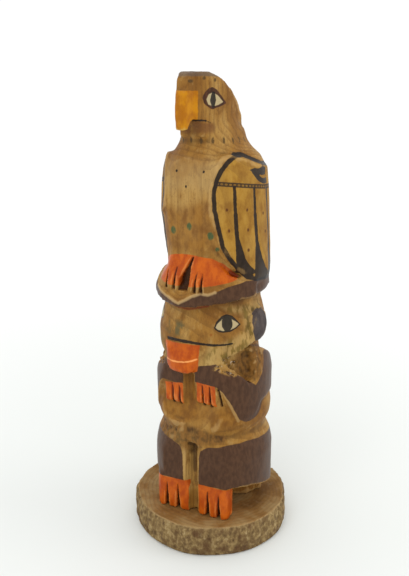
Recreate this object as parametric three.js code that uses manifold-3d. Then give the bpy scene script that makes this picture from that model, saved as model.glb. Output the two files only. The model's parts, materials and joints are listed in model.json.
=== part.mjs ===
// A small carved totem pole: an eagle on a perch above a seated bear, one log on a slice of a thicker one.
// Millimetres, +Z up, the figures look along -Y, their own left is +X, origin under the base's middle.
import * as THREE from "three";
import { mergeVertices } from "three/addons/utils/BufferGeometryUtils.js";
import Module from "manifold-3d";

const wasm = await Module();
wasm.setup();

// Main sizes
const HEIGHT = 279.4;
const BASE_TOP = 19;
const BASE_RADIUS = 49.3;
const JOINT_GAP = 0.3;
const POLE_BOTTOM = BASE_TOP + JOINT_GAP;
const LOG_RADIUS = 36.5;
const EAGLE_RADIUS = 30.1;
const POLE_SIDES = 64;
const BASE_SIDES = 72;
const FAR = 60;

// Where the pole stands on its base, and how far each part of the carving is turned or set over on the log
const POLE_X = 4.9;
const POLE_Y = -2.6;
const LEGS_TURN = 8;
const LEGS_SHIFT = [-0.6, -0.4, 0];
const THIGH_FACE_TURN = 4;
const ARMS_TURN = 5;
const ARMS_SHIFT = [-0.6, -0.5, 0];
const RIGHT_ARM_DROP = 2.8;
const BEAR_SHIFT = [-1.2, -0.9, 0];
const EAGLE_SHIFT = [0, -1.2, 0];
const TRIM_TURN = 37;

// Heights of the carved parts
const THIGH_BOTTOM = 40;
const WAIST = 74;
const CLAW_BOTTOM = 94;
const HAND_BOTTOM = 106;
const CHIN = 114;
const MOUTH = 131.5;
const PERCH = 152;
const FEET_TOP = 181;
const WING_TOP = 237;
const NECK = 244;

// A closed geometry as a solid; flat triangles at a lathe's axis are left out.
function solid(geometry) {
  const bare = geometry.clone();
  bare.deleteAttribute("normal");
  bare.deleteAttribute("uv");
  const merged = mergeVertices(bare, 1e-4);
  const corners = merged.index.array;
  const kept = [];
  for (let i = 0; i < corners.length; i += 3) {
    const [a, b, c] = [corners[i], corners[i + 1], corners[i + 2]];
    if (a !== b && b !== c && c !== a) kept.push(a, b, c);
  }
  return new wasm.Manifold(
    new wasm.Mesh({
      numProp: 3,
      vertProperties: merged.attributes.position.array,
      triVerts: new Uint32Array(kept),
    }),
  );
}

function join(solids) {
  return solids.reduce((sum, next) => sum.add(next));
}

// A turned log from [radius, height] points listed upwards.
function log(profile) {
  const points = [[0, profile[0][1]], ...profile, [0, profile.at(-1)[1]]];
  const outline = points.map(([r, z]) => new THREE.Vector2(r, z));
  return solid(new THREE.LatheGeometry(outline, POLE_SIDES).rotateX(Math.PI / 2));
}

function prism(points, length) {
  const flat = points.map(([u, v]) => new THREE.Vector2(u, v));
  const ordered = THREE.ShapeUtils.isClockWise(flat) ? flat.reverse() : flat;
  return new THREE.ExtrudeGeometry(new THREE.Shape(ordered), {
    depth: length,
    bevelEnabled: false,
  });
}

// Saw cuts: an outline seen from the side ([y, z]), from the front ([x, z]) or from above ([x, y]).
function sideCut(points, x0, x1) {
  const turn = new THREE.Matrix4().makeBasis(
    new THREE.Vector3(0, 1, 0),
    new THREE.Vector3(0, 0, 1),
    new THREE.Vector3(1, 0, 0),
  );
  return solid(prism(points, x1 - x0).applyMatrix4(turn).translate(x0, 0, 0));
}

function frontCut(points, y0, y1) {
  return solid(prism(points, y1 - y0).rotateX(Math.PI / 2).translate(0, y1, 0));
}

function planCut(points, z0, z1) {
  return solid(prism(points, z1 - z0).translate(0, 0, z0));
}

function mirrored(points) {
  return [...points, ...points.map(([u, v]) => [-u, v]).reverse()];
}

// The same cut on the figure's left and right.
function bothSides(shape) {
  return shape.add(shape.mirror([1, 0, 0]));
}

function frontFlat(shape, distance) {
  const kept = [[-distance, 0], [FAR, 0], [FAR, HEIGHT], [-distance, HEIGHT]];
  return shape.intersect(sideCut(kept, -FAR, FAR));
}

// A V groove down the front: half width and depth at the face, which stands at `face`.
function frontGroove(middle, halfWidth, depth, face, z0, z1) {
  const [left, right] = [middle - halfWidth, middle + halfWidth];
  const outline = [[left, -face - 1], [right, -face - 1], [middle, -face + depth]];
  return planCut(outline, z0, z1);
}

// A slit between toes or claws that closes to a point at its top.
function slit(middle, halfWidth, depth, face, z0, z1) {
  const outline = [[middle - halfWidth, z0], [middle + halfWidth, z0], [middle, z1]];
  return frontCut(outline, -face - 3, -face + depth);
}

// Legs: thighs hang over the feet, with a groove between them
function legs() {
  const thighLog = log([
    [33, 24], [LOG_RADIUS, 31], [LOG_RADIUS, 58], [35, 65], [31.5, WAIST - 1], [33, 79],
  ]);
  const thighSide = [
    [-FAR, THIGH_BOTTOM - 1], [-28, THIGH_BOTTOM + 1], [-15, THIGH_BOTTOM], [0, 35], [14, 30], [FAR, 26],
    [FAR, 79], [-FAR, 79],
  ];
  const faced = frontFlat(thighLog, 30).rotate([0, 0, THIGH_FACE_TURN]);
  const thighs = faced.intersect(sideCut(thighSide, -FAR, FAR));
  const lap = [[-31, 60], [-24, 66], [-24, 80], [-31, 80]];
  const core = log([[31, POLE_BOTTOM], [31, 60]]);
  const leftFoot = [[3, -29.2], [21.5, -28.2], [23.3, -25.5], [23, -21], [19, -14], [3, -4]];
  const rightFoot = [[-2, -29.4], [-21, -31.4], [-24.4, -28.5], [-24.5, -14], [-19, -6], [-2, -4]];
  const feet = planCut(leftFoot, POLE_BOTTOM, 42).add(planCut(rightFoot, POLE_BOTTOM, 42));
  const instepPlan = [[FAR, -22], [23.5, -20], [19, -13], [11, -4], [12.4, 0], [21.5, 5], [24, 13], [FAR, 35]];
  const instep = planCut(instepPlan, 0, 42);
  const bottom = frontFlat(core, 26).add(feet).subtract(bothSides(instep));
  const toeSlits = [-16.9, -9.5, 10.6, 17.8].map((x) => slit(x, 1.4, 5, 30, POLE_BOTTOM - 1, 36));
  return thighs
    .subtract(sideCut(lap, -4, 4))
    .add(bottom)
    .subtract(frontGroove(0.1, 5, 8, 30, 36, WAIST))
    .subtract(frontGroove(1.2, 3.6, 7, 29, 0, 42))
    .subtract(join(toeSlits));
}

// Arms: the elbows at the sides, the forearms up to the paws in front, a hollow in the crook
function arms() {
  const armLog = log([[34, 80], [35.3, 86], [35.4, 108], [33.6, 117.5], [29.8, 127.5]]);
  const belly = log([
    [31.5, WAIST - 8], [31.8, WAIST], [34.4, 79.5], [34.8, 85], [33, 96], [28.5, 106], [26, 127],
  ]).translate([0, 1, 0]);
  const armSide = [
    [-FAR, HAND_BOTTOM], [-28.7, HAND_BOTTOM], [-26.5, 99], [-21.5, 85], [-18, 82], [-12, 83], [-7.5, 88],
    [-3, 93], [16, 94], [19, 99], [19, 114], [12, 118.5], [5, 122.5], [-6, 127], [-20, 121], [-FAR, 116],
  ];
  const crook = [[-23, 118.5], [-13, 106], [-8.5, 109], [-7, 122], [-14, 134], [-23, 130]];
  const arm = armLog.intersect(sideCut(armSide, 3, FAR)).subtract(sideCut(crook, 18, FAR));
  const claw = [[-2.3, HAND_BOTTOM + 1], [-1.8, CLAW_BOTTOM], [1.6, CLAW_BOTTOM], [2.3, HAND_BOTTOM + 1]];
  const clawAt = (x) => frontCut(claw, -28.6, -20).translate([x, 0, 0]);
  const leftArm = arm.add(join([6.4, 11.6, 16.9].map(clawAt)));
  const rightArm = arm.mirror([1, 0, 0]).add(join([-14.9, -9.5, -5].map(clawAt)));
  const paws = frontFlat(leftArm.add(rightArm.translate([0, 0, -RIGHT_ARM_DROP])), 29.3);
  const bellyFront = [[-28.5, 60], [-28.5, 80], [-26, 92], [-25.5, 128], [FAR, 128], [FAR, 60]];
  return paws
    .add(belly.intersect(sideCut(bellyFront, -FAR, FAR)))
    .subtract(frontGroove(-0.2, 4.8, 5.5, 29.3, WAIST + 17, 130));
}

// The bear's head: a mouth cut round the front, a broad tongue, raised ears
function bearHead() {
  const skull = log([
    [28, 111], [31, 117], [32.4, 126], [32.5, 134], [31, 142], [29.3, 148.5], [28, 153], [28, 164],
  ]);
  const jaw = [
    [-FAR, CHIN + 2], [-31, CHIN + 2], [-28, 119], [-20, 123], [-6, 129], [0, 131], [8, 137.5], [16, 141],
    [FAR, 143], [FAR, 166], [-FAR, 166],
  ];
  const mouth = [[-FAR, MOUTH - 0.5], [-16, MOUTH], [-16, MOUTH + 1.3], [-FAR, MOUTH + 2.2]];
  const behindLips = log([[29.3, MOUTH - 5], [29.3, MOUTH + 6]]);
  const mouthRing = log([[40, MOUTH - 4], [40, MOUTH + 5]]).subtract(behindLips);
  const lips = mouthRing.intersect(sideCut(mouth, -FAR, FAR));
  const head = skull.intersect(sideCut(jaw, -FAR, FAR)).subtract(lips);
  const neck = log([[24.5, 105], [24.5, 150]]);
  const earLeaf = [
    [4, 150], [-4, 145.5], [-7.5, 139.5], [-5.5, 133], [-1, 129], [6, 132], [9.5, 138.5], [9, 145.5],
  ];
  const earLog = log([[31.5, 126], [34.4, 134], [33.8, 142], [31, 151]]);
  const ears = bothSides(earLog.intersect(sideCut(earLeaf, 20, FAR)));
  const tongueSide = [
    [-26, 132], [-29.8, 131], [-34.4, 122], [-35.6, 120.5], [-35, 114.5], [-33, 112.3], [-26, 112.3],
  ];
  const tonguePlan = [
    [-12, -20], [-12, -29.5], [-10, -32.2], [-6, -34.2], [-1, -35], [4, -34.4], [8, -32.4], [11, -29.5], [12, -20],
  ];
  const tongueFace = [
    [-12, 129.5], [12, 131], [10.5, 122], [9.6, 116], [8.4, 114], [4, 112.6], [-5, 112.3], [-9.5, 114.5],
    [-11.5, 119],
  ];
  const tongue = sideCut(tongueSide, -20, 20)
    .intersect(planCut(tonguePlan, 100, 140))
    .intersect(frontCut(tongueFace, -FAR, 0));
  return join([head, neck, ears, tongue]);
}

// The perch: a band that rises towards the back and comes to a point in front
function perch() {
  const bandLog = log([[31.3, 148], [33.2, 153], [33.4, 158], [33, 164], [31.5, 172]]);
  const bowPlan = [
    [0, -36.4], [6, -34.4], [14, -30.4], [0, -10], [-27.5, -20], [-24, -25.2], [-15, -31.6], [-6, -34.8],
  ];
  const bow = planCut(bowPlan, 150, 161);
  const bandSide = [
    [-FAR, 150.5], [-37, 152.5], [-20, 156.5], [-5, 159.8], [20, 161], [FAR, 161],
    [FAR, 168], [20, 168.5], [-5, 167.5], [-20, 163.8], [-30, 160.5], [-FAR, 158],
  ];
  const notch = wasm.Manifold.hull([
    [1, -37, 155.2], [11, -37, 161], [-16, -37, 158.6], [0, -32.4, 158.5], [11, -32, 163], [-15, -32, 162],
    [11, -37, 172], [-16, -37, 172], [11, -32, 172], [-15, -32, 172],
  ]);
  const top = log([[32, 158], [31.6, 162], [30, 166], [28, 173]]);
  const topSide = [[-32.4, 150], [-32.4, 160], [-31.5, 163], [-10, 168.5], [FAR, 171], [FAR, 150]];
  return bandLog
    .add(bow)
    .intersect(sideCut(bandSide, -FAR, FAR))
    .subtract(notch)
    .add(top.intersect(sideCut(topSide, -FAR, FAR)));
}

// The eagle's feet: a sloping skirt round the front, cut into toes
function eagleFeet() {
  const skirt = log([[34.5, PERCH + 6], [34, 165], [32, 171.5], [29.2, FEET_TOP]]);
  const skirtSide = [
    [-33.4, 158], [-33.2, 164], [-31.6, 169], [-29.6, 173], [-27.6, FEET_TOP], [-24, 177.5], [-19, 170.8],
    [-13, 168.5], [-6, 168], [-6, 158],
  ];
  const gap = [[5.4, 180], [3.9, 168], [3.9, 158], [-3.2, 158], [-3, 168.5], [3.4, 180]];
  const slitTops = [[-12.2, 171], [-6.2, 173.5], [8.3, 173], [11.9, 172]];
  const slits = slitTops.map(([x, top]) => slit(x, 1.1, 3.6, 33.4, 160, top));
  const outerTrim = [[-FAR, 160], [-33.4, 160], [-32.4, 165], [-30.6, 168.5], [-27.8, 173.5], [-26, 182], [-FAR, 182]];
  return skirt
    .intersect(sideCut(skirtSide, -FAR, FAR))
    .subtract(frontCut(outerTrim, -FAR, FAR).rotate([0, 0, TRIM_TURN]))
    .subtract(frontCut(gap, -FAR, -29))
    .subtract(join(slits));
}

// The eagle's body: flat breast, wings folded against the sides, a short tail behind
function eagleBody() {
  const trunk = log([
    [27.6, 160], [27.8, 178], [29, 195], [EAGLE_RADIUS, 212], [29.4, 224], [27.8, 231], [25.6, 235.5],
    [20.5, 240], [17.5, NECK], [16, 250],
  ]);
  const wingLog = log([
    [32, 163], [33, 170], [32.4, 184], [31.3, 204], [30.8, 218], [29.7, 228], [27.6, WING_TOP], [25.8, 240],
  ]);
  const wingTop = [
    [-27, 208], [-26.8, 218], [-25.5, 224.5], [-24, 229.5], [-21.8, 233.5], [-19, 236.2], [-15.5, WING_TOP],
    [-11, 235.6], [-2.5, 232.4], [10, 230.5], [FAR, 229], [FAR, 170], [24, 169], [14, 166], [4, 165.5],
    [-4, 166.3],
  ];
  const leftTip = [[-10.5, 169.3], [-16, 174], [-20.5, 180.5], [-23.3, 187], [-25, 196.5]];
  const rightTip = [[-8, 170], [-13, 176], [-16, 184], [-18, 193], [-21, 201]];
  const tail = [[2.6, 158], [2.2, 240], [-2.2, 240], [-2.6, 158]];
  const breast = planCut([[-15, -FAR], [15, -FAR], [15, 0], [-15, 0]], 150, HEIGHT);
  const leftWing = wingLog.intersect(sideCut([...wingTop, ...leftTip], 2, FAR));
  const rightTaper = log([[29.2, 160], [29.4, 182], [31.4, 206], [32, 240]]);
  const rightWing = rightTaper.intersect(wingLog).intersect(sideCut([...wingTop, ...rightTip], -FAR, -2));
  const wings = leftWing.add(rightWing).subtract(breast);
  return frontFlat(trunk, 26.1).add(wings.subtract(frontCut(tail, 20, FAR)));
}

// The eagle's head: sawn from the side, the front and above, with the beak cut free below
function eagleHead() {
  const side = [
    [-33.3, 248.6], [-34.2, 256], [-34, 263], [-32.8, 269.4], [-31.4, 270], [-31, 275], [-28.8, 278.2],
    [-24, HEIGHT],
    [-16.5, HEIGHT], [-13, 277.6], [-9.5, 274.9], [-5.7, 271.2], [-1.8, 267], [3, 261.6], [8, 256],
    [11.4, 250.5], [13, 245], [16, 239], [20, 233], [20, 226], [-25, 226], [-25.5, 238], [-24, 244],
    [-22.8, 250], [-24.5, 254.6], [-27.5, 254.4], [-30.5, 250.4],
  ];
  const plan = mirrored([
    [2.6, -34.2], [3.4, -32.5], [5.4, -26.2], [6.9, -25.6], [11, -17.5], [14, -8], [14, 0], [12.6, 6],
    [8, 12], [3, 14],
  ]);
  const front = mirrored([
    [7.5, HEIGHT], [11.5, 276.5], [14, 270], [15, 262], [15.6, 252], [17.3, NECK], [20.5, 239.5], [26, 235],
    [26, 226],
  ]);
  const upper = planCut(plan, 246, HEIGHT + 1);
  const neck = log([[21, 226], [21, 238], [18.3, 242.5], [17, 247], [15.4, 252], [13, 260]]);
  return upper
    .add(neck.translate([0, -4.5, 0]))
    .intersect(sideCut(side, -FAR, FAR))
    .intersect(frontCut(front, -FAR, FAR));
}

// The base: a slice of a log, not quite round, its bark edge broken a little above and below
function baseSlice() {
  const rings = [[0.965, 0], [0.99, 2.2], [1, 8], [0.995, 14], [0.985, 17.6], [0.955, BASE_TOP]];
  const broad = (a) => 0.008 * Math.sin(2 * a + 0.6) + 0.006 * Math.sin(5 * a + 1.9);
  const unevenness = (a) => broad(a) + 0.004 * Math.sin(9 * a);
  const corners = [];
  for (const [share, z] of rings) {
    for (let i = 0; i < BASE_SIDES; i += 1) {
      const a = (2 * Math.PI * i) / BASE_SIDES;
      const r = BASE_RADIUS * share * (1 + unevenness(a));
      corners.push(new THREE.Vector3(r * Math.cos(a), r * Math.sin(a), z));
    }
  }
  const box = new THREE.Box3().setFromPoints(corners);
  const middle = box.getCenter(new THREE.Vector3());
  corners.forEach((p) => p.set(p.x - middle.x, p.y - middle.y, p.z));
  corners.push(new THREE.Vector3(0, 0, 0), new THREE.Vector3(0, 0, BASE_TOP));
  const [under, over] = [corners.length - 2, corners.length - 1];
  const lastRing = (rings.length - 1) * BASE_SIDES;
  const faces = [];
  for (let i = 0; i < BASE_SIDES; i += 1) {
    const j = (i + 1) % BASE_SIDES;
    faces.push(under, j, i, over, lastRing + i, lastRing + j);
    for (let k = 0; k < lastRing; k += BASE_SIDES) {
      faces.push(k + i, k + j, k + BASE_SIDES + j, k + i, k + BASE_SIDES + j, k + BASE_SIDES + i);
    }
  }
  const geometry = new THREE.BufferGeometry().setFromPoints(corners);
  geometry.setIndex(faces);
  return geometry;
}

function meshOf(name, shape, colour, roughness) {
  let geometry = shape;
  if (!geometry.isBufferGeometry) {
    const data = shape.getMesh();
    geometry = new THREE.BufferGeometry();
    geometry.setAttribute("position", new THREE.BufferAttribute(data.vertProperties, 3));
    geometry.setIndex(new THREE.BufferAttribute(data.triVerts, 1));
  }
  const paint = new THREE.MeshStandardMaterial({ color: colour, roughness, metalness: 0 });
  const mesh = new THREE.Mesh(geometry, paint);
  mesh.name = name;
  return mesh;
}

const carving = join([
  legs().rotate([0, 0, LEGS_TURN]).translate(LEGS_SHIFT),
  arms().rotate([0, 0, ARMS_TURN]).translate(ARMS_SHIFT),
  bearHead().translate(BEAR_SHIFT),
  perch().translate(BEAR_SHIFT),
  eagleFeet(),
  eagleBody().translate(EAGLE_SHIFT),
  eagleHead(),
]);

const totem = new THREE.Group();
totem.add(meshOf("pole", carving.translate([POLE_X, POLE_Y, 0]), 0xa6743c, 0.6));
totem.add(meshOf("base", baseSlice(), 0x7c6242, 0.9));

export default totem;
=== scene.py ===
"""The looks of a small carved and painted totem pole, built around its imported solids.
The carving is cut finer and worn in mesh, and its painted areas are outlines drawn on the surface.
Outlines are in millimetres. Most are (u, z): z is the height, and u is the way round the log from the
middle of the front at a radius of 32 mm, positive on the figure's left. Where only the left side is given,
the right one repeats it. The eagle's eye and beak are drawn from the side as (y, z), and the tongue and the
toe and claw cuts from the front as (x, z)."""

import json
import math

import bmesh
import bpy
import numpy as np
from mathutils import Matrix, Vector, noise

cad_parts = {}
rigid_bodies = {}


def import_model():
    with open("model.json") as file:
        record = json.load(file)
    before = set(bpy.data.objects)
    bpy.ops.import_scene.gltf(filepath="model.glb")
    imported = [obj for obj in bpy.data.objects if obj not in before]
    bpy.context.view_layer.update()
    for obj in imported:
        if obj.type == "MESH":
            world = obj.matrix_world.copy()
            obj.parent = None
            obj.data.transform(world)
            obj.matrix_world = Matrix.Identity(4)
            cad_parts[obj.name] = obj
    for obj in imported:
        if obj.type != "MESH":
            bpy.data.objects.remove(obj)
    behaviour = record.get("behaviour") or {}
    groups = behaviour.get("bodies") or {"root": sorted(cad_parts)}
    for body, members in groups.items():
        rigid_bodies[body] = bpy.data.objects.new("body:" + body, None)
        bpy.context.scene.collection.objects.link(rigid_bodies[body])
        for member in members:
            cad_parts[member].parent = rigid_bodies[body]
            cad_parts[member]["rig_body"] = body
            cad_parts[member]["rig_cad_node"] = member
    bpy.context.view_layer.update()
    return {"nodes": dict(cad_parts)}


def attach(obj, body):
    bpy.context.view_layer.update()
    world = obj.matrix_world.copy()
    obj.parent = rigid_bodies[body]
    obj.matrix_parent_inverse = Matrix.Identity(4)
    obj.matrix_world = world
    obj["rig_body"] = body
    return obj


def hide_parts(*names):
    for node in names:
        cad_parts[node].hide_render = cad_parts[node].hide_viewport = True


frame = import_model()

MM = 0.001
BASE_TOP = 19.0
WRAP_RADIUS = 32.0
POLE_AXIS = np.array([4.9, -2.6])
PITH = POLE_AXIS + np.array([1.5, 2.0])
VOXEL_POLE = 1.22 * MM
VOXEL_BASE = 0.9 * MM
REACH = 6.0
RIGHT_ARM_DROP = 2.8
FACET_DEPTH = 0.3
SCORE_DEPTH = 0.25
CHIP_DEPTH = 1.1
ROUGH_DEPTH = 0.65
GAP_DEPTH = 2.4
BARK_DEPTH = 0.9
CRACK_DEPTH = 0.9
LINK_LENGTH = 2.5

# How each part of the carving is turned in degrees and set over in mm on the log, as in the solids
PLACES = {
    "legs": (8.0, (-0.6, -0.4)),
    "arms": (5.0, (-0.6, -0.5)),
    "bear": (0.0, (-1.2, -0.9)),
    "eagle": (0.0, (0.0, -1.2)),
    "head": (0.0, (0.0, 0.0)),
}


# Mesh helpers


def remeshed(node, name, voxel):
    """A copy of a solid as an even mesh of small quads."""
    piece = frame["nodes"][node].copy()
    piece.data = piece.data.copy()
    piece.name = name
    piece.parent = None
    bpy.context.scene.collection.objects.link(piece)
    modifier = piece.modifiers.new("even", "REMESH")
    modifier.mode = "VOXEL"
    modifier.voxel_size = voxel
    shown = piece.evaluated_get(bpy.context.evaluated_depsgraph_get())
    mesh = bpy.data.meshes.new_from_object(shown)
    piece.modifiers.clear()
    piece.data = mesh
    piece.data.name = name
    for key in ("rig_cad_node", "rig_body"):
        if key in piece:
            del piece[key]
    return piece


def refined(mesh, wanted):
    """Splits the edges between wanted vertices, for finer carving there."""
    work = bmesh.new()
    work.from_mesh(mesh)
    chosen = [edge for edge in work.edges if all(wanted[vertex.index] for vertex in edge.verts)]
    bmesh.ops.subdivide_edges(work, edges=chosen, cuts=1, use_grid_fill=True)
    work.to_mesh(mesh)
    work.free()


def points_of(mesh):
    flat = np.empty(len(mesh.vertices) * 3)
    mesh.vertices.foreach_get("co", flat)
    return flat.reshape(-1, 3)


def normals_of(mesh):
    flat = np.empty(len(mesh.vertices) * 3, dtype=np.float32)
    mesh.vertex_normals.foreach_get("vector", flat)
    return flat.reshape(-1, 3).astype(float)


def set_points(mesh, points):
    mesh.vertices.foreach_set("co", points.reshape(-1))
    mesh.update()


def edges_of(mesh):
    flat = np.empty(len(mesh.edges) * 2, dtype=np.int32)
    mesh.edges.foreach_get("vertices", flat)
    return flat.reshape(-1, 2)


def averaged(values, edges):
    """Each vertex's mean over its neighbours."""
    total = np.zeros_like(values)
    count = np.zeros(len(values))
    for a, b in ((0, 1), (1, 0)):
        np.add.at(total, edges[:, a], values[edges[:, b]])
        np.add.at(count, edges[:, a], 1)
    return total / (count[:, None] if values.ndim == 2 else count)


def smoothed(points, edges, rounds, share=0.5):
    for _ in range(rounds):
        points = points + (averaged(points, edges) - points) * share
    return points


def kept_smooth(points, edges, rounds):
    """Smooths away the remesh's steps and gives back most of the size that plain smoothing takes."""
    for _ in range(rounds):
        points = smoothed(points, edges, 1, 0.55)
        points = smoothed(points, edges, 1, -0.56)
    return points


def smoothstep(low, high, values):
    t = np.clip((values - low) / (high - low), 0, 1)
    return t * t * (3 - 2 * t)


def noise_at(points, size, seed, stretch=(1, 1, 1)):
    """Smooth noise from -1 to 1 at points in mm; size is the width of its lumps."""
    offset = Vector((seed * 17.3, seed * 5.1, seed * 9.7))
    scale = np.array(stretch) / size
    return np.array([noise.noise(Vector(p) + offset) for p in points * scale])


def store(mesh, name, values):
    attribute = mesh.attributes.new(name, "FLOAT", "POINT")
    attribute.data.foreach_set("value", values.astype(np.float32))


# Outlines on the surface: positive inside, in mm


def inside(u, z, outline):
    """Distance to a closed outline, positive inside it."""
    p = np.stack([u, z], 1)
    corners = np.array(outline, float)
    nearest = np.full(len(p), 1e9)
    odd = np.zeros(len(p), bool)
    for a, b in zip(corners, np.roll(corners, -1, 0)):
        nearest = np.minimum(nearest, distance_to(p, a, b))
        if a[1] != b[1]:
            crosses = (a[1] > p[:, 1]) != (b[1] > p[:, 1])
            odd ^= crosses & (p[:, 0] < (b[0] - a[0]) * (p[:, 1] - a[1]) / (b[1] - a[1]) + a[0])
    return np.clip(np.where(odd, nearest, -nearest), -REACH, REACH)


def distance_to(p, a, b):
    run = b - a
    t = np.clip(((p - a) @ run) / max(run @ run, 1e-9), 0, 1)
    return np.hypot(*(p - a - t[:, None] * run).T)


def stroke(u, z, path, width, end_width=None):
    """A brush line along a path, positive inside it, that may change width on its way."""
    p = np.stack([u, z], 1)
    corners = np.array(path, float)
    widths = np.linspace(width, end_width or width, len(corners))
    best = np.full(len(p), -REACH)
    for a, b, w in zip(corners[:-1], corners[1:], (widths[:-1] + widths[1:]) / 2):
        best = np.maximum(best, w / 2 - distance_to(p, a, b))
    return best


def dots(u, z, places, width, height=None):
    """Round or upright oval spots."""
    tall = (height or width) / width
    best = np.full(len(u), -REACH)
    for pu, pz in places:
        best = np.maximum(best, width / 2 - np.hypot(u - pu, (z - pz) / tall))
    return best


def wedge(x, z, middle, low, high, low_width, high_width=0.3):
    """A cut between toes or claws: low_width wide at its foot, high_width at its top."""
    share = np.clip((z - low) / (high - low), 0, 1)
    half = (low_width + (high_width - low_width) * share) / 2
    return both(half - np.abs(x - middle), z - low + 1.0, high - z)


def either(*fields):
    return np.maximum.reduce(fields)


def both(*fields):
    return np.minimum.reduce(fields)


def wrap(points, part):
    """u, z, x and y of points in one part's own place: u round the log, x across, y towards the back."""
    turn, shift = PLACES[part]
    a = -math.radians(turn)
    local = points[:, :2] - POLE_AXIS - np.array(shift)
    x = local[:, 0] * math.cos(a) - local[:, 1] * math.sin(a)
    y = local[:, 0] * math.sin(a) + local[:, 1] * math.cos(a)
    return WRAP_RADIUS * np.arctan2(x, -y), points[:, 2], x, y


# Painted areas of the pole, part by part

WING_EDGE = [
    (67, 167), (58, 167), (46, 168), (39, 170.4), (33.7, 175), (28.3, 181.3), (24.4, 187.8), (22.3, 197),
    (19.8, 207.8), (19.2, 217.3), (21, 224.1), (23.5, 228.9), (27.7, 233.3), (33.5, 236.6), (40, 236.8),
    (46, 234.9), (57, 231.4), (80, 229.5), (101, 229),
]
RIGHT_WING_LOWER = ([170, 176, 184, 193, 201, 214], [1, 2.6, 5.4, 6.8, 5, 0])
CHAIN_LINE = ([20, 31.6, 44, 55.5, 75, 100], [222.2, 221.3, 220, 218.8, 218, 218])
FEATHER_LINES = [
    [(31, 220.2), (31.7, 205.3), (33.2, 181.5), (33.9, 174)],
    [(44.4, 219), (45.1, 204.2), (46.3, 185.9), (45.6, 169)],
    [(58, 218), (59, 203), (60.5, 185), (60, 167)],
    [(73, 218), (74, 203), (75, 185), (75, 167)],
]
FEATHER_TIPS = [
    [(33.2, 194), (35.6, 187), (37.6, 181), (40.8, 176.4), (45, 172.6), (39, 170), (33, 174.5)],
    [(46.2, 194), (48.8, 185), (51.6, 178), (54.6, 173.6), (59, 169.8), (55, 167), (45, 168)],
    [(60.4, 190), (62.5, 181), (65.5, 175), (71.5, 170), (70, 166), (60, 166)],
]
SHOULDER_FLAMES = [
    [
        (40.5, 228.8), (46, 229.6), (50, 229), (55, 230.2), (60, 229), (57, 226.6), (61, 225.5), (54, 225),
        (47, 226),
    ],
    [(43, 227.4), (48, 226.4), (53, 223.6), (60, 223.8), (59, 220.5), (53, 220.4), (48, 222.6)],
]
WING_DOTS = [
    (26.7, 208.2), (27.8, 196.9), (39, 207.5), (39.4, 196.6), (39.6, 185.5), (52.7, 204.4), (54.7, 194),
    (67, 206), (68, 192),
]
BREAST_DOTS = [(-0.9, 219.5), (13, 228.1), (-8.7, 227.7)]
GREEN_DOTS = [(-11.8, 194.4), (1.7, 197.7), (17.4, 193.7)]
SMALL_GREEN_DOT = [(21.5, 186.3)]
EAGLE_FEET = [
    (-38, 170), (-28, 174.5), (-20, 178.4), (-10, 181), (0, 181.8), (10.4, 181.6), (18.4, 180.8),
    (25.9, 177.6), (35.6, 170.4), (29, 168.2), (20, 166.6), (12, 165.4), (4, 164.6), (-4, 164), (-12, 164),
    (-20, 165), (-34, 167.4),
]
EAGLE_TOE_GAPS = [(-12.2, 171.5), (-6.2, 174), (8.3, 173.5), (11.9, 172.5)]
BETWEEN_FEET = [
    (4.8, 181), (3.4, 175), (3.7, 169), (3.9, 162), (-3.2, 161.5), (-2.8, 168.5), (0.4, 175), (3.6, 180.6),
]
PALE_BREAST = [(-30, 236), (30, 236), (24, 222), (16, 215), (0, 217), (-14, 213), (-30, 220)]
WARM_BREAST = [(-31, 214), (-8, 208), (6, 212), (19, 214), (23, 186), (8, 182), (-31, 182)]


def eagle_paint(points):
    u, z, x, y = wrap(points, "eagle")
    side = np.where(u < 0, -u - np.interp(z, *RIGHT_WING_LOWER), u)
    lines = [stroke(side, z, WING_EDGE, 2.5)]
    lines += [stroke(side, z, path, 1.7, 3.2) for path in FEATHER_LINES]
    lines += [inside(side, z, tip) for tip in FEATHER_TIPS]
    lines += [inside(side, z, flame) - 0.1 for flame in SHOULDER_FLAMES]
    front = smoothstep(-15, -17, y) * REACH * 2 - REACH
    # Cuts between the toes and the notch between the feet: deepened in the mesh and painted dark, as
    # painted shade with some dark stain.
    gaps = [wedge(x, z, middle, 162.5, top, 2.3) for middle, top in EAGLE_TOE_GAPS]
    gaps = both(either(*gaps, inside(x, z, BETWEEN_FEET)), -y - 24)
    wing = inside(side, z, WING_EDGE + [(101, 167)])
    feet = both(inside(u, z, EAGLE_FEET), 182 - z)
    return {
        "dark": either(*lines, both(dots(u, z, BREAST_DOTS, 1.6), front)),
        "dots": both(dots(side, z, WING_DOTS, 1.5, 1.9), wing),
        "green": both(either(dots(u, z, GREEN_DOTS, 4.0, 4.4), dots(u, z, SMALL_GREEN_DOT, 2.4)), front),
        "wing": wing,
        "orange": both(feet, 0.4 - gaps),
        "gap": gaps,
        "pale": inside(u, z, PALE_BREAST),
        "warm": inside(u, z, WARM_BREAST),
    }


def chain_places(points):
    """How far along and across the chain line under the shoulder a point lies."""
    u, z = wrap(points, "eagle")[:2]
    return np.abs(u), z - np.interp(np.abs(u), *CHAIN_LINE)


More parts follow.
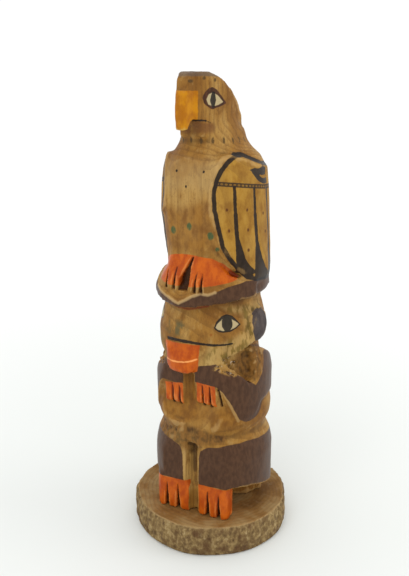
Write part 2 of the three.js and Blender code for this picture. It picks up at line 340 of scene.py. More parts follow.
EAGLE_EYE = [
    (-23.9, 266), (-22.6, 269), (-20.6, 271), (-18.4, 271.6), (-16, 270.2), (-13, 267), (-9.8, 263.2),
    (-12, 262.4), (-15, 261.3), (-18.4, 260.2), (-21, 261.4), (-23, 263.2),
]
EAGLE_EYE_WHITE = [
    (-22.2, 265.2), (-20.6, 268.2), (-18.2, 269), (-15.4, 267.6), (-11.6, 263.9), (-15, 262.3),
    (-18.6, 261.4), (-21, 262.6),
]
EAGLE_MOUTH = [(-28, 254.6), (-22, 254.4), (-19.5, 253.4)]
EAGLE_CHIN = [(0, 247), (18.4, 247.4), (19.4, 251), (17.4, 253.6), (10, 254.2), (0, 254.6)]
BEAK_GAPE = [(-24.2, 254.4), (-29.5, 254.6), (-31.5, 250), (-26, 248)]
BEAK_ROOT, BEAK_BOTTOM, BEAK_TOP = -25.75, 247.5, 269.6
EAGLE_PUPIL = -18.1
COLLAR_STEP = 9.1
GREEN_MARKS = 10
HEAD_SPOTS = [(4.6, 274.4), (11.1, 276), (18.4, 275.1)]


def head_paint(points):
    u, z, x, y = wrap(points, "head")
    side = np.abs(u)
    high = smoothstep(246, 248, z) * REACH * 2 - REACH
    on_side = both(np.abs(x) - 5.5, high)
    eye = inside(y, z, EAGLE_EYE)
    white = inside(y, z, EAGLE_EYE_WHITE)
    pupil = both(wedge(y, z, EAGLE_PUPIL, 265, 269.6, 3.6, 1.0), z - 264.9)
    pupil = either(pupil, both(wedge(y, -z, EAGLE_PUPIL, -265.1, -260.4, 3.6, 0.8), 265.2 - z))
    collar = [(k * COLLAR_STEP - 1.2, 244) for k in range(-11, 12)]
    marks = either(dots(u, z, collar[GREEN_MARKS:], 2.3, 3.8), both(dots(u, z, HEAD_SPOTS, 1.9), high))
    beak = both(BEAK_ROOT - y, z - BEAK_BOTTOM, BEAK_TOP - z)
    mouth = both(stroke(y, z, EAGLE_MOUTH, 1.1, 0.5), np.abs(x) - 2.5, high)
    # Painted shadow on the recessed chin under the eagle's beak.
    under = inside(side, z, EAGLE_CHIN)
    return {
        "dark": either(mouth, both(pupil, white + 0.3, on_side)),
        "lid": both(eye, 0.2 - white, on_side),
        "white": both(white, on_side),
        "marks": marks,
        "green": dots(u, z, collar[:GREEN_MARKS], 2.3, 3.8),
        "yellow": both(beak, -inside(y, z, BEAK_GAPE)),
        "shade": both(under, high),
        "crown": both(z - 276.8, -y - 4),
    }


BAND_TOP = [
    (-101, 168.5), (-44, 166), (-29, 162.6), (-21, 161), (-13, 159), (1.5, 155.4), (8.5, 160),
    (13.3, 161.8), (17.2, 161.4), (21, 163), (28.8, 166), (37.9, 168), (60, 168), (101, 168.5),
]
BAND_LIP = BAND_TOP[3:10]
EAR = [
    (51.5, 149), (47, 147.2), (44.2, 142.4), (44, 137), (46, 132), (48.5, 129), (54.5, 132), (58.4, 138),
    (57.4, 146),
]
NOSE = [(-15, 135), (-12, 143), (0, 144.5), (6, 141), (7, 134), (-8, 132.5)]
BEAR_EYE = [
    (20.6, 141.3), (22.2, 144.6), (25, 147.4), (28.5, 148.4), (32, 147.2), (34.6, 144.8), (36.8, 142.3),
    (33.6, 140.4), (30, 139), (26, 138.8), (22.6, 139.6),
]
BEAR_PUPIL = [(28.4, 143.8)]
LIPS = [(-10, 131.2), (-4, 131.8), (6, 132.3), (15, 131.8), (21, 131.4), (27, 131.4), (31, 131.8)]
TONGUE = [
    (-12.6, 129.6), (12.6, 131.2), (11.6, 124), (10.8, 118), (9.6, 114), (5, 112), (-5, 111.6),
    (-10.2, 113.6), (-12.2, 119),
]
TONGUE_RIDGE = [(-9.5, 119.4), (-5, 119.3), (0, 119.7), (4, 120.3), (8, 121.2), (10.6, 122.4)]
FUR = [
    (24, 153), (30, 149), (38.5, 147), (38.5, 139), (27, 134), (17, 130), (12.5, 116), (20, 117), (30, 119),
    (46, 127), (60, 134), (60, 153),
]
RED_STROKE = [(-12, 151), (4, 150.6), (17, 153.4)]
CHEEK_SPECK = [(18.9, 137.5)]


def bear_paint(points, normals):
    u, z, x, y = wrap(points, "bear")
    side = np.abs(u)
    reach = np.hypot(x, y)
    here = both(z - 110, 153.5 - z)
    band = both(inside(u, z, BAND_TOP + [(101, 147), (-101, 147)]), reach - 30.6)
    band = both(band, (0.72 - normals[:, 2]) * 12, (normals[:, 2] + 0.8) * 12)
    ear = inside(side, z, EAR)
    eye = both(inside(side, z, BEAR_EYE), here)
    pupil = both(dots(side, z, BEAR_PUPIL, 6.6, 9.4), eye + 0.4)
    lid = 0.65 + smoothstep(142.5, 145.5, z) * 0.7
    lips = both(stroke(u, z, LIPS, 2.1, 1.0), reach - 27)
    return {
        "brown": band,
        "ear": ear,
        "dark": either(both(eye + 0.25, lid - eye), pupil, lips),
        "white": both(eye - 0.3, here),
        "orange": both(inside(x, z, TONGUE), -y - 26),
        "fur": both(inside(side, z, FUR), here, z - 113),
        "nose": both(inside(u, z, NOSE), here),
        "red": both(stroke(u, z, RED_STROKE, 1.3), reach - 26),
        "speck": both(dots(u, z, CHEEK_SPECK, 1.5), here),
        # A painted highlight along the tongue's worn ridge.
        "glint": both(stroke(x, z, TONGUE_RIDGE, 0.9), -y - 30),
        "lip": both(stroke(u, z, BAND_LIP, 1.5), reach - 30),
    }


FOREARM = [
    (4.6, 117), (4.6, 106.8), (8, 106.2), (18.4, 106.9), (21.9, 103.4), (26.8, 94.8), (31, 85.4),
    (35, 82.6), (38.5, 82.2), (43.2, 83.4), (47.6, 87), (50, 93.5), (58, 94.6), (69, 96), (70, 121),
    (62, 127.6), (56.5, 127), (52.5, 121), (49.5, 114.5), (47, 110), (41.5, 104.6), (33, 111.6),
    (27.4, 114.2), (18.2, 120),
]
CLAW_GAPS = [-12.1, -7.2, 9.1, 14.0]
# A crease beside the figure's left paw, cut in the mesh and painted dark: a painted shadow line between paw
# and forearm.
BESIDE_PAW = [(19.2, 105), (20.6, 99), (21.6, 94)]
CHIPPED = [(16, 117), (20, 121), (27, 122), (34, 118.5), (34, 113.5), (28, 112.4), (22, 114.4)]
# The crook of the arm: rough cuts painted darker, which in this hollow is also painted shade.
CROOK = [(33, 112), (41.5, 106), (47, 111), (52, 121), (56, 127), (44, 128), (36, 122), (30, 119)]
WARM_BELLY = [(-44, 96), (0, 104), (30, 92), (52, 92), (52, 74), (-44, 74)]
BELOW_FOREARM = [(20, 106.4), (22.2, 103.6), (25.4, 96.6), (29, 88.4), (31, 84)]


def arms_paint(points):
    u, z, x, y = wrap(points, "arms")
    z = np.where(x < 0, z + RIGHT_ARM_DROP, z)
    side = np.abs(u)
    reach = np.hypot(x, y)
    here = both(z - 80, 129 - z)
    top = 106.9 - np.clip(-x - 5, 0, 12) * 0.14
    claws = both(top - z, z - 93.2, -y - 26.6, np.abs(x - 0.4) - 4.8, 17.6 - np.abs(x - 0.4))
    # Cuts between the claws: deepened in the mesh and painted dark, as painted shade with some dark stain.
    between = [wedge(x, z, middle, 93.0, 106, 2.1) for middle in CLAW_GAPS]
    # Painted shadow line between the left paw and the forearm.
    beside_paw = both(stroke(u, z, BESIDE_PAW, 1.3), x)
    gaps = both(either(*between, beside_paw), -y - 22)
    return {
        "brown": both(inside(side, z, FOREARM), either(reach - 32, -y - 27.6), here),
        "orange": both(claws, 0.3 - gaps),
        "gap": gaps,
        "chip": both(inside(side, z, CHIPPED), here),
        "rough": both(inside(side, z, CROOK), here),
        "strip": both(stroke(side, z, BELOW_FOREARM, 1.8), here),
        "warm": both(inside(u, z, WARM_BELLY), here),
    }


THIGH = [
    (5.5, 39.4), (16, 40.6), (29, 40.4), (44, 37), (56, 32.7), (64, 30), (78, 29), (78, 63.5), (57, 66.4),
    (36.4, 69), (22.6, 68.6), (12, 66.6), (7, 63), (5.8, 58),
]
LAP = [
    (-44, 74), (-26, 76), (-10, 79), (10, 78), (26, 74), (22, 69.5), (11, 67.5), (5, 63), (3, 57),
    (-3, 57), (-7, 62), (-12, 65), (-24, 66), (-44, 64),
]
TOE_GAPS = [-16.9, -9.5, 10.6, 17.8]


def legs_paint(points, normals):
    u, z, x, y = wrap(points, "legs")
    side = np.abs(u)
    reach = np.hypot(x, y)
    right_thigh_drop = np.clip(-u - 14, 0, 18) * 0.15
    thigh = both(inside(side, z + right_thigh_drop, THIGH), (normals[:, 2] + 0.5) * 12)
    thigh = both(thigh, either(reach - 32.4, -y - 27.6))
    # Cuts between the toes: deepened in the mesh and painted dark, as painted shade with some dark stain.
    gaps = both(either(*[wedge(x, z, middle, 19, 36.5, 3.0) for middle in TOE_GAPS]), -y - 21)
    foot = both(either(both(x - 4.6, 25.5 - x), both(-2.3 - x, x + 26)), 40.2 - z, -y - 10)
    return {
        "brown": thigh,
        "orange": both(foot, 0.3 - gaps),
        "gap": gaps,
        "rough": both(inside(u, z, LAP), -y - 20),
    }


def painted(points, normals):
    """All painted fields of the pole, joined over its parts."""
    fields = {}
    parts = [eagle_paint(points), head_paint(points), bear_paint(points, normals)]
    parts += [arms_paint(points), legs_paint(points, normals)]
    for part in parts:
        for name, values in part.items():
            fields[name] = either(fields[name], values) if name in fields else values
    return fields


def worked_closely(points):
    """Where the carving or the paint is small: toes, claws, faces, perch, crooks of the arms and spots."""
    x, y = (points[:, :2] - POLE_AXIS).T
    z = points[:, 2]
    front = y < -19
    toes = (z < 45) & front
    claws = (z > 88) & (z < 109) & front
    face = (z > 109) & (z < 152) & (y < -11)
    perch = (z > 150) & (z < 182) & (y < -18)
    crooks = (z > 104) & (z < 129) & (y < 1) & (np.abs(x) > 17)
    head = (z > 246) & (y < -4)
    return toes | claws | face | perch | crooks | head | near_spots(points)


def near_spots(points):
    """Round the small painted spots of the wing and the breast."""
    u, z = wrap(points, "eagle")[:2]
    wing = dots(np.abs(u), z, WING_DOTS, 6)
    breast = dots(u, z, BREAST_DOTS + GREEN_DOTS, 7)
    return either(wing, breast, dots(u, z, SMALL_GREEN_DOT, 5)) > 0


def carved(points, normals, fields):
    """Shallow relief: knife facets, cut lines along the painted outlines and the soft lumps of handwork."""
    facet = np.array([noise.voronoi(Vector(p * (0.11, 0.11, 0.075)))[0][0] for p in points])
    depth = (facet - 0.35) * FACET_DEPTH
    depth += noise_at(points, 14, 1) * 0.2 + noise_at(points, 4, 2, (1, 1, 0.4)) * 0.07
    depth -= smoothstep(-0.4, 0.5, fields["dark"]) * SCORE_DEPTH
    scratches = noise_at(points, 1.5, 3, (1, 1, 0.3))
    depth -= smoothstep(0, 2.5, fields["fur"]) * smoothstep(0.1, 0.5, scratches) * 0.3
    hacked = noise_at(points, 2.4, 4)
    depth += smoothstep(0, 1.5, fields["chip"]) * (hacked * CHIP_DEPTH - 0.3)
    depth += smoothstep(0, 1.5, fields["rough"]) * hacked * ROUGH_DEPTH
    moved = points + normals * depth[:, None]
    moved[:, 1] += smoothstep(-0.3, 0.7, fields["gap"]) * GAP_DEPTH
    return moved


def make_pole():
    piece = remeshed("pole", "carved_pole", VOXEL_POLE)
    mesh = piece.data
    edges = edges_of(mesh)
    points = kept_smooth(smoothed(points_of(mesh) / MM, edges, 1, 0.5), edges, 2)
    set_points(mesh, points * MM)
    refined(mesh, worked_closely(points))
    edges = edges_of(mesh)
    points = smoothed(points_of(mesh) / MM, edges, 1, 0.4)
    set_points(mesh, points * MM)
    normals = normals_of(mesh)
    fields = painted(points, normals)
    points = carved(points, normals, fields)
    set_points(mesh, points * MM)
    broad = smoothed(points, edges, 8, 0.6)
    proud = ((points - broad) * normals_of(mesh)).sum(1)
    store(mesh, "proud", np.clip(averaged(proud, edges), -1, 1))
    for name, values in fields.items():
        store(mesh, name, np.clip(values, -REACH, REACH))
    for name, values in zip(("chain_along", "chain_across"), chain_places(points)):
        store(mesh, name, values)
    finish_piece(piece, "pole", pole_material())


def finish_piece(piece, node, material):
    """Shades a piece smoothly and lets it ride in place of its solid."""
    for polygon in piece.data.polygons:
        polygon.use_smooth = True
    piece.data.materials.clear()
    piece.data.materials.append(material)
    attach(piece, "root")
    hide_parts(node)


def make_base():
    piece = remeshed("base", "log_slice", VOXEL_BASE)
    mesh = piece.data
    edges = edges_of(mesh)
    points = kept_smooth(smoothed(points_of(mesh) / MM, edges, 2, 0.5), edges, 2)
    set_points(mesh, points * MM)
    normals = normals_of(mesh)
    out = smoothstep(0.25, 0.7, np.hypot(normals[:, 0], normals[:, 1]))
    ridges = noise_at(points, 9, 5, (1, 1, 0.45)) * BARK_DEPTH
    ridges += noise_at(points, 3.5, 6, (1, 1, 0.6)) * 0.6
    cracks = 1 - np.abs(noise_at(points, 7, 7, (1, 1, 0.35))) * 6
    bark = out * (ridges - np.clip(cracks, 0, 1) * CRACK_DEPTH - 0.2)
    saw = (1 - out) * noise_at(points, 16, 8) * 0.2 * (points[:, 2] > 10)
    under = points[:, 2] < 1.5
    depth = np.where(under, 0, bark + saw)
    points = points + normals * depth[:, None]
    points[:, 2] = np.clip(points[:, 2], 0, BASE_TOP + 0.2)
    set_points(mesh, points * MM)
    store(mesh, "bark", out)
    store(mesh, "rim", out * (1 - out) * 4 * (points[:, 2] > BASE_TOP - 4))
    finish_piece(piece, "base", base_material())


# Material helpers


class Nodes:
    """Small helper that adds and links the nodes of one material."""

    def __init__(self, name):
        self.material = bpy.data.materials.new(name)
        self.material.use_nodes = True
        self.tree = self.material.node_tree
        self.shader = self.tree.nodes["Principled BSDF"]
        self.place = self.add("ShaderNodeTexCoord").outputs["Object"]

    def add(self, kind, **settings):
        made = self.tree.nodes.new(kind)
        for key, value in settings.items():
            setattr(made, key, value)
        return made

    def link(self, source, target):
        if isinstance(source, bpy.types.NodeSocket):
            self.tree.links.new(source, target)
        else:
            target.default_value = source

    def field(self, name):
        return self.add("ShaderNodeAttribute", attribute_name=name).outputs["Fac"]

    def math(self, operation, a, b=0.0, clamp=False):
        made = self.add("ShaderNodeMath", operation=operation, use_clamp=clamp)
        self.link(a, made.inputs[0])
        self.link(b, made.inputs[1])
        return made.outputs[0]

    def ramp(self, value, low, high, to_low=0.0, to_high=1.0):
        made = self.add("ShaderNodeMapRange", interpolation_type="SMOOTHSTEP")
        self.link(value, made.inputs["Value"])
        for key, number in (("From Min", low), ("From Max", high), ("To Min", to_low), ("To Max", to_high)):
            made.inputs[key].default_value = number
        return made.outputs["Result"]

    def scaled(self, stretch, shift=(0, 0, 0)):
        made = self.add("ShaderNodeMapping")
        self.link(self.place, made.inputs["Vector"])
        made.inputs["Scale"].default_value = stretch
        made.inputs["Location"].default_value = shift
        return made.outputs["Vector"]

    def noise(self, size_mm, stretch=(1, 1, 1), detail=3.0, shift=0.0, rough=0.5):
        made = self.add("ShaderNodeTexNoise")
        made.inputs["Scale"].default_value = 1.0
        made.inputs["Detail"].default_value = detail
        made.inputs["Roughness"].default_value = rough
        k = 1 / (size_mm * MM)
        self.link(self.scaled([k * s for s in stretch], (shift, shift, shift)), made.inputs["Vector"])
        return made.outputs["Fac"]

    def mix(self, share, a, b, blend="MIX"):
        made = self.add("ShaderNodeMix", data_type="RGBA", blend_type=blend)
        self.link(share, made.inputs["Factor"])
        self.link(a, made.inputs[6])
        self.link(b, made.inputs[7])
        return made.outputs[2]

    def colours(self, value, *stops):
        made = self.add("ShaderNodeValToRGB")
        while len(made.color_ramp.elements) < len(stops):
            made.color_ramp.elements.new(0.5)
        for element, (at, colour) in zip(made.color_ramp.elements, stops):
            element.position = at
            element.color = colour
        self.link(value, made.inputs["Fac"])
        return made.outputs["Color"]

    def bump(self, height, distance_mm, strength=1.0, under=None):
        made = self.add("ShaderNodeBump")
        made.inputs["Strength"].default_value = strength
        made.inputs["Distance"].default_value = distance_mm * MM
        self.link(height, made.inputs["Height"])
        if under is not None:
            self.link(under, made.inputs["Normal"])
        return made.outputs["Normal"]


def rgb(red, green, blue):
    """A screen colour from 0 to 255 as a linear one."""
    return (*(linear(channel / 255) for channel in (red, green, blue)), 1.0)


def linear(share):
    return share / 12.92 if share <= 0.04045 else ((share + 0.055) / 1.055) ** 2.4


def growth_rings(n, spacing_mm, waver_mm):
    """Distance from the pith as rings, with the wavering of real growth."""
    split = n.add("ShaderNodeSeparateXYZ")
    n.link(n.place, split.inputs[0])
    x = n.math("SUBTRACT", split.outputs[0], PITH[0] * MM)
    y = n.math("SUBTRACT", split.outputs[1], PITH[1] * MM)
    reach = n.math("SQRT", n.math("ADD", n.math("MULTIPLY", x, x), n.math("MULTIPLY", y, y)))
    waver = n.math("MULTIPLY", n.noise(40, (1, 1, 0.35), 2), waver_mm * MM)
    turns = n.math("DIVIDE", n.math("ADD", reach, waver), spacing_mm * MM)
    return n.math("FRACT", turns)


def bare_wood(n):
    """Tan wood with fine rings, long fibres, blotches and a browner or greyer cast here and there."""
    late = n.ramp(growth_rings(n, 1.7, 3.5), 0.45, 0.95)
    fibre = n.noise(0.9, (1, 1, 0.08), 4, 3.0, 0.6)
    broad = n.noise(24, (1, 1, 0.55), 3, 7.0)
    blotch = n.noise(5, (1, 1, 0.6), 5, 17.0, 0.62)
    speck = n.noise(0.8, (1, 1, 0.7), 3, 23.0, 0.6)
    tone = n.colours(broad, (0.38, rgb(126, 84, 30)), (0.5, rgb(150, 107, 44)), (0.62, rgb(170, 133, 72)))
    tone = n.mix(n.ramp(blotch, 0.5, 0.7, 0.0, 0.62), tone, rgb(108, 66, 18))
    tone = n.mix(n.ramp(blotch, 0.46, 0.3, 0.0, 0.5), tone, rgb(178, 142, 82))
    tone = n.mix(n.math("MULTIPLY", late, 0.32), tone, rgb(90, 56, 20))
    tone = n.mix(n.ramp(fibre, 0.42, 0.75, 0.0, 0.32), tone, rgb(92, 60, 24))
    tone = n.mix(n.ramp(speck, 0.56, 0.72, 0.0, 0.45), tone, rgb(80, 50, 20))
    return tone, late, fibre, blotch


class PoleNodes(Nodes):
    """The pole's nodes, with the masks that its paints share and the helpers that lay paint on."""

    def __init__(self, name):
        super().__init__(name)
        self.wood, self.late, self.fibre, self.blotch = bare_wood(self)
        self.brush = self.noise(1.8, (1, 1, 0.5), 4, 11.0)
        self.wobble = self.math("MULTIPLY", self.math("SUBTRACT", self.noise(2.6, detail=3), 0.5), 0.8)
        proud = self.field("proud")
        uneven = self.math("MULTIPLY", self.math("SUBTRACT", self.brush, 0.5), 0.25)
        self.raised = self.math("ADD", proud, uneven)
        self.worn = self.ramp(self.raised, 0.14, 0.3)
        # Painted shade: a darker tone wherever the surface lies in a hollow, crease or cut.
        self.hollow_shade = self.ramp(proud, -0.03, -0.3)
        self.flecks = self.ramp(self.noise(1.5, detail=5, shift=31.0), 0.72, 0.78)

    def area(self, name, soft=0.2, shift=0.0):
        """A painted area as a mask, with a slightly wavering edge."""
        return self.ramp(self.math("ADD", self.field(name), self.wobble), shift - soft, shift + soft)

    def cover(self, base, mask, share, paint):
        return self.mix(self.math("MULTIPLY", mask, share), base, paint)

    def dulled(self, mask, by, share):
        """A mask made weaker where another one is strong."""
        return self.math("MULTIPLY", mask, self.math("SUBTRACT", 1.0, self.math("MULTIPLY", by, share)))

    def patchy(self, low, high, first, second):
        """Two tones mixed by the wood's blotches."""
        return self.mix(self.ramp(self.blotch, low, high), first, second)

    def brushed(self, low, high, first, second):
        """Two tones mixed by the strokes of the brush."""
        return self.mix(self.ramp(self.brush, low, high), first, second)


def stained_and_shaded_wood(n):
    """The bare wood with its thin stains: breast, wing, fur, nose and the rough cuts, which are darker and
    in the crook of the arm are also painted shade. It also carries painted shade under the eagle's beak and
    in hollows, and lighter worn edges.
    """
    colour = n.cover(n.wood, n.area("pale", 4, 2.5), 0.3, rgb(166, 140, 96))
    warm_tone = n.patchy(0.4, 0.6, rgb(140, 94, 30), rgb(112, 70, 22))
    colour = n.cover(colour, n.area("warm", 4, 1.5), 0.72, warm_tone)
    wing_tone = n.patchy(0.4, 0.65, rgb(168, 126, 44), rgb(140, 98, 28))
    wing_tone = n.cover(wing_tone, n.late, 0.3, rgb(120, 82, 34))
    colour = n.cover(colour, n.area("wing", 0.5), 0.7, wing_tone)
    # Painted shadow under the eagle's beak.
    colour = n.cover(colour, n.area("shade", 1.4, 0.7), 0.62, rgb(104, 64, 34))
    fur = n.area("fur", 2.5, 1.0)
    patches = n.ramp(n.noise(2.6, (1, 1, 0.35), 4, 21.0), 0.46, 0.6)
    colour = n.cover(colour, n.dulled(fur, patches, 1.0), 0.45, rgb(186, 158, 98))
    colour = n.cover(colour, n.math("MULTIPLY", fur, patches), 0.55, rgb(94, 88, 38))
    nose = n.math("MULTIPLY", n.area("nose", 2.2, 1.4), n.ramp(n.blotch, 0.4, 0.56))
    colour = n.cover(colour, nose, 0.65, rgb(70, 80, 56))
    # Rough cuts are darker; in the crook of the arm this is also painted shade.
    rough_tone = n.brushed(0.4, 0.62, rgb(122, 82, 34), rgb(76, 52, 24))
    colour = n.cover(colour, n.area("rough", 1.5, 0.8), 0.75, rough_tone)
    # Painted shade in the hollows of the bare wood.
    colour = n.cover(colour, n.hollow_shade, 0.7, rgb(60, 38, 18))
    return n.cover(colour, n.worn, 0.4, rgb(190, 154, 98))


def thin_marks(n, colour):
    """The thinly painted marks: strip, crown, collar, green spots, red stroke and speck."""
    colour = n.cover(colour, n.area("strip", 0.4), 0.6, rgb(172, 138, 84))
    colour = n.cover(colour, n.area("crown", 0.5), 0.7, rgb(88, 76, 66))
    colour = n.cover(colour, n.area("marks", 0.3), 0.85, rgb(74, 54, 26))
    green = n.dulled(n.area("green", 0.5), n.ramp(n.brush, 0.5, 0.7), 0.5)
    colour = n.cover(colour, green, 0.85, rgb(46, 80, 50))
    colour = n.cover(colour, n.area("red", 0.4), 0.75, rgb(112, 42, 22))
    return n.cover(colour, n.area("speck", 0.4), 0.7, rgb(130, 70, 16))


def brown_paint(n, colour):
    """The band, arms and thighs, rubbed bare at their edges and chipped, and the greyer ears."""
    rubbed = n.ramp(n.raised, 0.3, 0.5)
    bare = n.math("MAXIMUM", n.math("MULTIPLY", rubbed, 0.6), n.math("MULTIPLY", n.flecks, 0.5))
    splinters = n.ramp(n.noise(2.0, detail=5, shift=41.0), 0.42, 0.5)
    bare = n.math("MAXIMUM", bare, n.math("MULTIPLY", n.area("chip", 0.8, 0.2), splinters))
    brown = n.dulled(n.area("brown"), bare, 1.0)
    tone = n.brushed(0.3, 0.7, rgb(66, 42, 26), rgb(82, 55, 36))
    # The brown paint is darker in hollows, as painted shade.
    colour = n.mix(brown, colour, n.cover(tone, n.hollow_shade, 0.5, rgb(40, 24, 18)))
    scratches = n.ramp(n.noise(0.9, (1, 0.5, 1), 3, 47.0), 0.62, 0.68)
    scratches = n.math("MULTIPLY", scratches, n.area("chip", 0.8, 0.6))
    colour = n.cover(colour, scratches, 0.8, rgb(206, 192, 172))
    ear = n.dulled(n.area("ear"), bare, 0.5)
    return brown, n.mix(ear, colour, n.patchy(0.35, 0.65, rgb(80, 70, 66), rgb(58, 50, 48)))


def orange_paint(n, colour):
    """The feet, claws and tongue."""
    orange = n.dulled(n.area("orange"), n.flecks, 0.4)
    tone = n.patchy(0.35, 0.65, rgb(190, 90, 14), rgb(162, 66, 8))
    # The orange is darker in hollows, as painted shade.
    tone = n.cover(tone, n.hollow_shade, 0.85, rgb(92, 28, 8))
    tone = n.cover(tone, n.worn, 0.5, rgb(214, 132, 66))
    # Painted highlight along the tongue's worn ridge.
    tone = n.cover(tone, n.area("glint", 0.3), 0.8, rgb(244, 168, 96))
    return orange, n.mix(orange, colour, tone)


def yellow_paint(n, colour):
    """The eagle's beak."""
    yellow = n.area("yellow")
    tone = n.patchy(0.35, 0.62, rgb(186, 122, 2), rgb(160, 96, 0))
    tone = n.cover(tone, n.worn, 0.6, rgb(214, 180, 90))
    # The yellow is darker in hollows, as painted shade.
    tone = n.cover(tone, n.hollow_shade, 0.7, rgb(96, 56, 10))
    return yellow, n.mix(yellow, colour, tone)


def dark_paint(n, colour):
    """Everything drawn last: eyes, lips, feather lines, chain, spots, and painted shade with some dark
    stain in the cuts between toes and claws.
    """
    colour = n.cover(colour, n.area("white", 0.25), 0.85, rgb(180, 164, 124))
    colour = n.cover(colour, n.area("lip", 0.5), 0.55, rgb(196, 164, 112))
    colour = n.cover(colour, n.area("lid"), 0.94, n.brushed(0.35, 0.7, rgb(48, 24, 16), rgb(78, 44, 28)))
    dark = n.dulled(n.area("dark", 0.18), n.worn, 0.3)
    colour = n.cover(colour, dark, 0.95, n.brushed(0.35, 0.7, rgb(16, 12, 11), rgb(34, 27, 24)))
    colour = n.cover(colour, chain_links(n), 0.9, rgb(40, 30, 24))
    colour = n.cover(colour, n.area("dots", 0.3), 0.85, rgb(74, 32, 14))
    # Painted shade, with some dark stain, in the cuts between toes and claws.
    return dark, n.cover(colour, n.area("gap", 0.3, 0.1), 0.88, rgb(46, 16, 6))


def pole_material():
    """Worn wood under its paints. Paint is smoother than wood and hides part of its grain."""
    n = PoleNodes("carved_and_painted_wood")
    colour = thin_marks(n, stained_and_shaded_wood(n))
    brown, colour = brown_paint(n, colour)
    orange, colour = orange_paint(n, colour)
    yellow, colour = yellow_paint(n, colour)
    dark, colour = dark_paint(n, colour)
    n.link(colour, n.shader.inputs["Base Color"])

    paint = n.math("MAXIMUM", n.math("MAXIMUM", brown, orange), n.math("MAXIMUM", yellow, dark))
    rough = n.math("ADD", 0.52, n.math("MULTIPLY", n.brush, 0.16))
    rough = n.math("SUBTRACT", rough, n.math("MULTIPLY", paint, 0.2))
    n.link(rough, n.shader.inputs["Roughness"])
    n.shader.inputs["Specular IOR Level"].default_value = 0.16
    streaks = n.math("ADD", n.math("MULTIPLY", n.fibre, 0.6), n.math("MULTIPLY", n.late, 0.35))
    normal = n.bump(n.dulled(streaks, paint, 0.6), 0.16, 0.8)
    n.link(n.bump(n.brush, 0.1, 0.6, normal), n.shader.inputs["Normal"])
    return n.material


def chain_links(n):
    """The painted chain under the wing's shoulder: a dark band with a row of small paler ovals."""
    across = n.field("chain_across")
    on_wing = n.ramp(n.field("wing"), -0.3, 0.3)
    band = n.math("MULTIPLY", n.ramp(n.math("ABSOLUTE", across), 1.35, 1.1), on_wing)
    step = n.math("SUBTRACT", n.math("FRACT", n.math("DIVIDE", n.field("chain_along"), LINK_LENGTH)), 0.5)
    along = n.math("MULTIPLY", step, LINK_LENGTH / 0.95)
    high = n.math("DIVIDE", across, 0.6)
    reach = n.math("ADD", n.math("MULTIPLY", along, along), n.math("MULTIPLY", high, high))
    return n.math("MULTIPLY", band, n.ramp(reach, 0.6, 1.0, 0.45, 1.0))


def base_material():
    n = Nodes("log_slice_wood_and_bark")
    broad = n.noise(14, (1, 1, 1), 4, 2.0)
    ring = growth_rings(n, 2.6, 12)
    late = n.ramp(ring, 0.5, 0.98)
    stain = n.noise(3.2, detail=5, shift=9.0)
    top = n.colours(broad, (0.34, rgb(112, 78, 38)), (0.5, rgb(134, 98, 52)), (0.64, rgb(150, 122, 78)))
    top = n.mix(n.math("MULTIPLY", late, 0.22), top, rgb(84, 60, 36))
    top = n.mix(n.ramp(stain, 0.5, 0.8, 0.0, 0.35), top, rgb(156, 130, 92))
    flakes = n.noise(2.6, (1, 1, 0.75), 6, 4.0, 0.68)
    low, high = (0.3, rgb(80, 60, 38)), (0.7, rgb(172, 150, 110))
    bark = n.colours(flakes, low, (0.45, rgb(116, 92, 58)), (0.56, rgb(142, 118, 76)), high)
    bark = n.mix(n.ramp(n.noise(9, (1, 1, 1.2), 4, 15.0), 0.48, 0.66, 0.0, 0.7), bark, rgb(84, 56, 34))
    ragged = n.math("MULTIPLY", n.math("SUBTRACT", stain, 0.5), 0.8)
    edge = n.ramp(n.math("ADD", n.field("bark"), ragged), 0.35, 0.65)
    colour = n.mix(edge, top, bark)
    rim = n.math("MULTIPLY", n.field("rim"), n.ramp(stain, 0.3, 0.55, 0.2, 0.75))
    n.link(n.mix(rim, colour, rgb(178, 148, 102)), n.shader.inputs["Base Color"])
    n.link(n.ramp(flakes, 0.2, 0.8, 0.55, 0.85), n.shader.inputs["Roughness"])
    n.shader.inputs["Specular IOR Level"].default_value = 0.12
    height = n.math("MULTIPLY", flakes, n.math("ADD", 0.3, edge))
    height = n.math("ADD", height, n.math("MULTIPLY", late, 0.15))
    n.link(n.bump(height, 0.5, 0.8), n.shader.inputs["Normal"])
    return n.material


# Camera, lights and floor

CAMERA_AZIMUTH = math.radians(37)
CAMERA_DISTANCE = 394.8
CAMERA_HEIGHT = 264.9
CAMERA_SIDE = -4.6
CAMERA_PITCH = math.radians(15.6)
LENS = 42.06
SKY_STRENGTH = 1.04


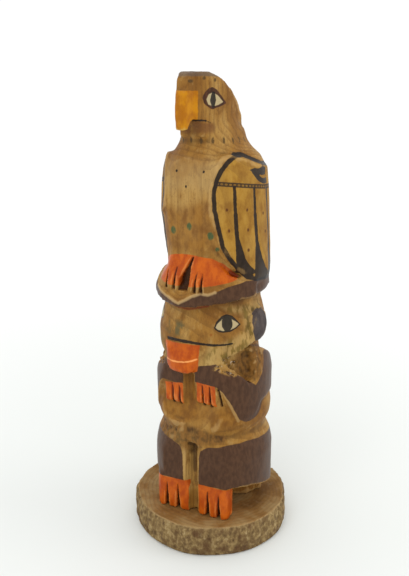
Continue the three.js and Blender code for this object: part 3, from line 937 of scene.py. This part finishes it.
def make_camera():
    camera = bpy.data.objects.new("camera", bpy.data.cameras.new("camera"))
    bpy.context.scene.collection.objects.link(camera)
    camera.data.lens = LENS
    camera.data.sensor_width = 36
    camera.data.clip_start = 0.01
    back = Vector((math.sin(CAMERA_AZIMUTH), -math.cos(CAMERA_AZIMUTH), 0))
    right = Vector((math.cos(CAMERA_AZIMUTH), math.sin(CAMERA_AZIMUTH), 0))
    camera.location = (back * CAMERA_DISTANCE + right * CAMERA_SIDE + Vector((0, 0, CAMERA_HEIGHT))) * MM
    look = -back * math.cos(CAMERA_PITCH) - Vector((0, 0, math.sin(CAMERA_PITCH)))
    camera.rotation_euler = look.to_track_quat("-Z", "Y").to_euler()
    bpy.context.scene.camera = camera


def area_light(name, azimuth, elevation, distance, size, watts):
    """A soft light that looks at the middle of the pole."""
    data = bpy.data.lights.new(name, "AREA")
    data.energy = watts
    data.size = size
    lamp = bpy.data.objects.new(name, data)
    bpy.context.scene.collection.objects.link(lamp)
    a, e = math.radians(azimuth), math.radians(elevation)
    away = Vector((math.sin(a) * math.cos(e), -math.cos(a) * math.cos(e), math.sin(e)))
    lamp.location = Vector((0, 0, 0.14)) + away * distance
    lamp.rotation_euler = (-away).to_track_quat("-Z", "Y").to_euler()


def make_stage():
    mesh = bpy.data.meshes.new("floor")
    mesh.from_pydata([(-6, -6, 0), (6, -6, 0), (6, 6, 0), (-6, 6, 0)], [], [(0, 1, 2, 3)])
    floor = bpy.data.objects.new("floor", mesh)
    bpy.context.scene.collection.objects.link(floor)
    n = Nodes("pale_floor")
    # Painted light and shade: the floor is darker near the pole and lighter far from it.
    away = n.add("ShaderNodeVectorMath", operation="LENGTH")
    n.link(n.place, away.inputs[0])
    far = n.ramp(away.outputs["Value"], 0.05, 0.9)
    floor_light_and_shade = n.mix(far, rgb(229, 232, 229), rgb(253, 253, 253))
    n.link(floor_light_and_shade, n.shader.inputs["Base Color"])
    n.shader.inputs["Roughness"].default_value = 1.0
    n.shader.inputs["Specular IOR Level"].default_value = 0.0
    mesh.materials.append(n.material)
    world = bpy.data.worlds.new("world")
    world.use_nodes = True
    world.node_tree.nodes["Background"].inputs["Color"].default_value = (1, 1, 1, 1)
    world.node_tree.nodes["Background"].inputs["Strength"].default_value = SKY_STRENGTH
    bpy.context.scene.world = world
    area_light("key", azimuth=10, elevation=50, distance=1.1, size=0.6, watts=2.4)
    area_light("side", azimuth=120, elevation=25, distance=1.0, size=0.5, watts=1.6)
    bpy.context.scene.view_settings.view_transform = "Standard"


make_camera()
make_stage()
make_pole()
make_base()
